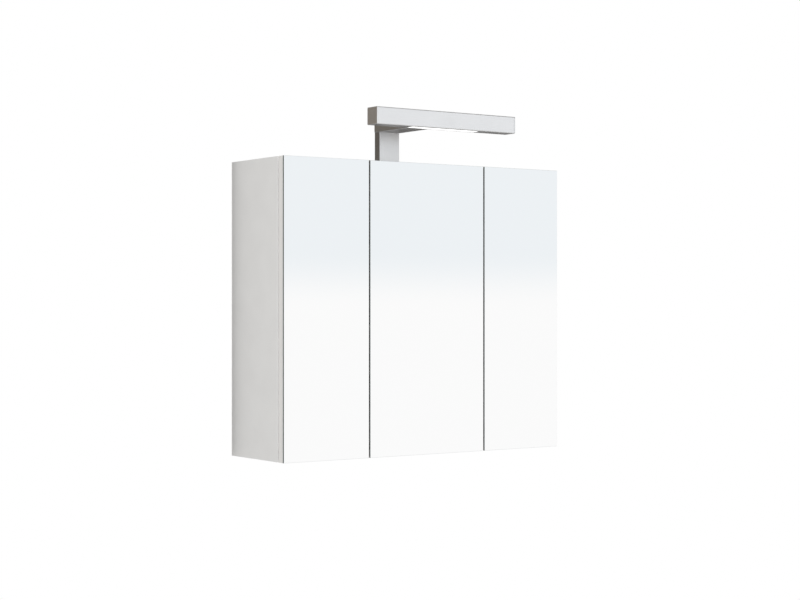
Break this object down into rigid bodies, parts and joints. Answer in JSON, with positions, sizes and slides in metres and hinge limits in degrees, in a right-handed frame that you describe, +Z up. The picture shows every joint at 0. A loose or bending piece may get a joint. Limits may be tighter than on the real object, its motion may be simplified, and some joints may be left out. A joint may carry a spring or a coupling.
{
  "type": "mirror cabinet",
  "caption": "Wall-hung bathroom mirror cabinet with frameless mirror doors on cup hinges, glass shelves inside and a slim metal lamp carried on an arm above.",
  "frame": {"origin": "on the wall plane, in the middle of the four wall screw holes", "axes": "+X to the right seen from the front, +Y into the wall, +Z up"},
  "size_m": [0.7, 0.2785, 0.7075],
  "materials": {
    "carcass_board": "white melamine-faced board, satin",
    "back_board": "white-faced hardboard, matt",
    "door_board": "white melamine-faced board, satin",
    "mirror_glass": "silvered glass with polished edges",
    "shelf_glass": "clear float glass with polished edges",
    "hinge_steel": "nickel-plated pressed steel",
    "pin_steel": "bright drawn steel",
    "screw_steel": "zinc-plated steel",
    "support_steel": "nickel-plated steel",
    "fitting_zinc": "die-cast zinc",
    "dowel_beech": "plain beech",
    "bumper_rubber": "clear soft plastic",
    "hanger_plastic": "white moulded plastic",
    "plate_steel": "zinc-plated steel",
    "lamp_metal": "satin anodised",
    "lamp_opal": "opal plastic, lit from behind",
    "led_board": "white printed board",
    "led_light": "phosphor lens",
    "switch_plastic": "white moulded plastic",
    "rocker_plastic": "white moulded plastic",
    "driver_plastic": "white moulded plastic",
    "gland_rubber": "dark grey soft plastic"
  },
  "bodies": {
    "carcass": {"side_panel_left": "carcass_board", "side_panel_right": "carcass_board", "top_panel": "carcass_board", "bottom_panel": "carcass_board", "partition_left": "carcass_board", "partition_right": "carcass_board", "back_panel": "back_board", "shelf_left_upper": "shelf_glass", "shelf_left_lower": "shelf_glass", "shelf_centre_upper": "shelf_glass", "shelf_centre_lower": "shelf_glass", "shelf_right_upper": "shelf_glass", "shelf_right_lower": "shelf_glass", "hinge_arms_left": "hinge_steel", "hinge_arms_centre": "hinge_steel", "hinge_arms_right": "hinge_steel", "hinge_plates": "hinge_steel", "panel_screws": "screw_steel", "hinge_arm_screws": "screw_steel", "lamp_post_screws": "screw_steel", "lamp_arm_screws": "screw_steel", "shelf_supports": "support_steel", "corner_cams": "fitting_zinc", "corner_cam_bolts": "fitting_zinc", "dowels": "dowel_beech", "hanger_left": "hanger_plastic", "hanger_right": "hanger_plastic", "hanger_hooks": "plate_steel", "wall_plate_left": "plate_steel", "wall_plate_right": "plate_steel", "lamp_bar": "lamp_metal", "lamp_end_caps": "lamp_metal", "lamp_arm": "lamp_metal", "lamp_post": "lamp_metal", "lamp_diffuser": "lamp_opal", "lamp_led_board": "led_board", "lamp_leds": "led_light", "switch_box": "switch_plastic", "switch_frame": "switch_plastic", "lamp_driver": "driver_plastic", "cable_gland": "gland_rubber"},
    "door_left": {"door_panel_left": "door_board", "door_mirror_left": "mirror_glass", "hinge_cups_left": "hinge_steel", "hinge_pins_left": "pin_steel", "cup_screws_left": "screw_steel", "bumpers_left": "bumper_rubber"},
    "door_centre": {"door_panel_centre": "door_board", "door_mirror_centre": "mirror_glass", "hinge_cups_centre": "hinge_steel", "hinge_pins_centre": "pin_steel", "cup_screws_centre": "screw_steel", "bumpers_centre": "bumper_rubber"},
    "door_right": {"door_panel_right": "door_board", "door_mirror_right": "mirror_glass", "hinge_cups_right": "hinge_steel", "hinge_pins_right": "pin_steel", "cup_screws_right": "screw_steel", "bumpers_right": "bumper_rubber"},
    "rocker": {"switch_rocker": "rocker_plastic"}
  },
  "joints": [
    {"name": "left_door_hinge", "type": "hinge", "parent": "carcass", "child": "door_left", "pos_m": [-0.3424, -0.201, -0.233], "axis": [0, 0, -1], "range_deg": [0, 95]},
    {"name": "centre_door_hinge", "type": "hinge", "parent": "carcass", "child": "door_centre", "pos_m": [-0.1374, -0.201, -0.233], "axis": [0, 0, -1], "range_deg": [0, 95]},
    {"name": "right_door_hinge", "type": "hinge", "parent": "carcass", "child": "door_right", "pos_m": [0.3424, -0.201, -0.233], "axis": [0, 0, 1], "range_deg": [0, 95]},
    {"name": "rocker_pivot", "type": "hinge", "parent": "carcass", "child": "rocker", "pos_m": [0.10775, -0.1328, 0.031], "axis": [1, 0, 0], "range_deg": [0, 14]}
  ]
}
